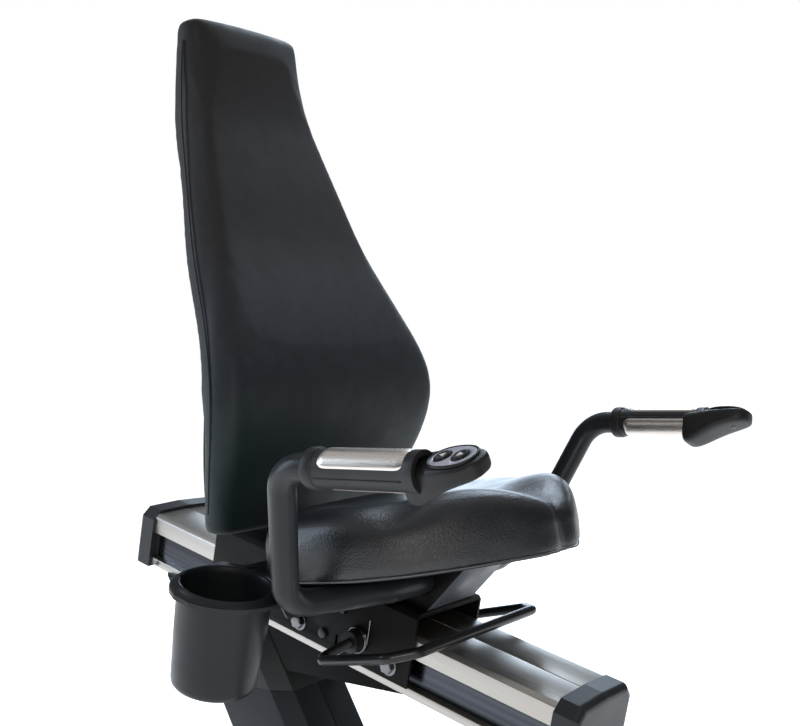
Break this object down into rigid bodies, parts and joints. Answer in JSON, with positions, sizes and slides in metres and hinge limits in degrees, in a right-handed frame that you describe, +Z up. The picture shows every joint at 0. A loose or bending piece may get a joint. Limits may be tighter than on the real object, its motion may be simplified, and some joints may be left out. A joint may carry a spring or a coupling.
{
  "type": "recumbent exercise bike",
  "caption": "Recumbent exercise bike: sliding padded seat with side grips on a sloped rail, cranked belt drive in a housing, console mast and floor frame.",
  "frame": {"origin": "on the floor, under the middle of the bike's box", "axes": "+X the way the rider faces, +Y the rider's left, +Z up"},
  "size_m": [1.6127, 0.632, 1.2944],
  "materials": {
    "frame_paint": "satin",
    "carriage_paint": "satin",
    "rail_aluminium": "satin",
    "cover_plastic": "matte",
    "housing_plastic": "matte",
    "black_plastic": "matte",
    "cup_plastic": "matte",
    "grip_rubber": "matte",
    "foot_rubber": "matte",
    "pulse_steel": "satin",
    "bolt_steel": "polished",
    "machined_steel": "satin",
    "flywheel_iron": "satin",
    "seat_skin": "satin",
    "back_skin": "matte",
    "screen_glass": "gloss",
    "button_plastic": "gloss",
    "lever_paint": "satin"
  },
  "bodies": {
    "frame": {"spine_beam": "frame_paint", "rear_stabilizer": "frame_paint", "front_stabilizer": "frame_paint", "stabilizer_caps": "black_plastic", "levelling_feet": "foot_rubber", "seat_post": "frame_paint", "post_cover_right": "cover_plastic", "post_cover_left": "cover_plastic", "post_collar": "cover_plastic", "rail_bracket": "carriage_paint", "seat_rail": "rail_aluminium", "rail_cap_rear": "black_plastic", "rail_cap_front": "black_plastic", "drive_frame": "frame_paint", "axle_bearings": "machined_steel", "housing_right": "housing_plastic", "housing_left": "housing_plastic", "flywheel_axle": "machined_steel", "drive_belt": "foot_rubber", "mast": "frame_paint", "console_housing": "cover_plastic", "console_screen": "screen_glass", "front_handlebar": "frame_paint", "front_grips": "grip_rubber", "power_inlet": "black_plastic"},
    "cranks": {"crank_axle": "machined_steel", "drive_pulley": "black_plastic", "crank_right": "lever_paint", "crank_left": "lever_paint"},
    "pedal_unit_right": {"pedal_right": "black_plastic", "pedal_strap_right": "foot_rubber"},
    "pedal_unit_left": {"pedal_left": "black_plastic", "pedal_strap_left": "foot_rubber"},
    "flywheel_unit": {"flywheel": "flywheel_iron", "flywheel_pulley": "machined_steel"},
    "wheel_right": {"transport_wheel_right": "foot_rubber"},
    "wheel_left": {"transport_wheel_left": "foot_rubber"},
    "carriage": {"carriage_plate": "carriage_paint", "carriage_bolts": "bolt_steel", "seat_support": "frame_paint", "back_upright": "frame_paint", "back_shell": "cover_plastic", "back_pad": "back_skin", "seat_pan": "black_plastic", "seat_cushion": "seat_skin", "handle_tube_right": "frame_paint", "handle_tube_left": "frame_paint", "grip_sleeves": "grip_rubber", "grip_plates": "pulse_steel", "button_pod_right": "black_plastic", "button_pod_left": "black_plastic", "cup_holder": "cup_plastic"},
    "rollers_rear_pair": {"rollers_rear": "black_plastic"},
    "rollers_front_pair": {"rollers_front": "black_plastic"},
    "lever": {"release_lever": "lever_paint"},
    "shoe": {"lock_shoe": "machined_steel"},
    "push_right_rear": {"button_right_rear": "button_plastic"},
    "push_right_front": {"button_right_front": "button_plastic"},
    "push_left_rear": {"button_left_rear": "button_plastic"},
    "push_left_front": {"button_left_front": "button_plastic"}
  },
  "joints": [
    {"name": "seat_slide", "type": "slide", "parent": "frame", "child": "carriage", "axis": [0.9703, 0, -0.2419], "range_m": [-0.11, 0.17]},
    {"name": "rear_roller_spin", "type": "hinge", "parent": "carriage", "child": "rollers_rear_pair", "pos_m": [-0.48589, 0, 0.411], "axis": [0, 1, 0], "continuous": true},
    {"name": "front_roller_spin", "type": "hinge", "parent": "carriage", "child": "rollers_front_pair", "pos_m": [-0.3452, 0, 0.37592], "axis": [0, 1, 0], "continuous": true},
    {"name": "lever_lift", "type": "hinge", "parent": "carriage", "child": "lever", "pos_m": [-0.39057, 0, 0.40063], "axis": [0, -1, 0], "range_deg": [0, 16], "stiffness_Nm_per_rad": 1.5, "springref_deg": -11.46},
    {"name": "shoe_release", "type": "slide", "parent": "carriage", "child": "shoe", "axis": [0, -1, 0], "range_m": [0, 0.002]},
    {"name": "crank_spin", "type": "hinge", "parent": "frame", "child": "cranks", "pos_m": [0.412, 0, 0.38], "axis": [0, 1, 0], "continuous": true},
    {"name": "flywheel_spin", "type": "hinge", "parent": "frame", "child": "flywheel_unit", "pos_m": [0.6, 0, 0.3], "axis": [0, 1, 0], "continuous": true},
    {"name": "pedal_right_spin", "type": "hinge", "parent": "cranks", "child": "pedal_unit_right", "pos_m": [0.56607, -0.139, 0.30816], "axis": [0, 1, 0], "continuous": true},
    {"name": "pedal_left_spin", "type": "hinge", "parent": "cranks", "child": "pedal_unit_left", "pos_m": [0.25793, 0.139, 0.45184], "axis": [0, 1, 0], "continuous": true},
    {"name": "wheel_right_spin", "type": "hinge", "parent": "frame", "child": "wheel_right", "pos_m": [0.7738, -0.12, 0.035], "axis": [0, 1, 0], "continuous": true},
    {"name": "wheel_left_spin", "type": "hinge", "parent": "frame", "child": "wheel_left", "pos_m": [0.7738, 0.12, 0.035], "axis": [0, 1, 0], "continuous": true},
    {"name": "button_right_rear_press", "type": "slide", "parent": "carriage", "child": "push_right_rear", "axis": [0.0698, 0.3737, -0.9249], "range_m": [0, 0.0014], "stiffness_N_per_m": 800, "springref_m": -0.0004},
    {"name": "button_right_front_press", "type": "slide", "parent": "carriage", "child": "push_right_front", "axis": [0.0698, 0.3737, -0.9249], "range_m": [0, 0.0014], "stiffness_N_per_m": 800, "springref_m": -0.0004},
    {"name": "button_left_rear_press", "type": "slide", "parent": "carriage", "child": "push_left_rear", "axis": [0.0698, -0.3737, -0.9249], "range_m": [0, 0.0014], "stiffness_N_per_m": 800, "springref_m": -0.0004},
    {"name": "button_left_front_press", "type": "slide", "parent": "carriage", "child": "push_left_front", "axis": [0.0698, -0.3737, -0.9249], "range_m": [0, 0.0014], "stiffness_N_per_m": 800, "springref_m": -0.0004}
  ],
  "couplings": [
    {"joint": "rear_roller_spin", "follows": "seat_slide", "rad_per_m": 56.497},
    {"joint": "front_roller_spin", "follows": "seat_slide", "rad_per_m": 56.497},
    {"joint": "shoe_release", "follows": "lever_lift", "m_per_rad": 0.006804},
    {"joint": "flywheel_spin", "follows": "crank_spin", "ratio": 5.2}
  ]
}
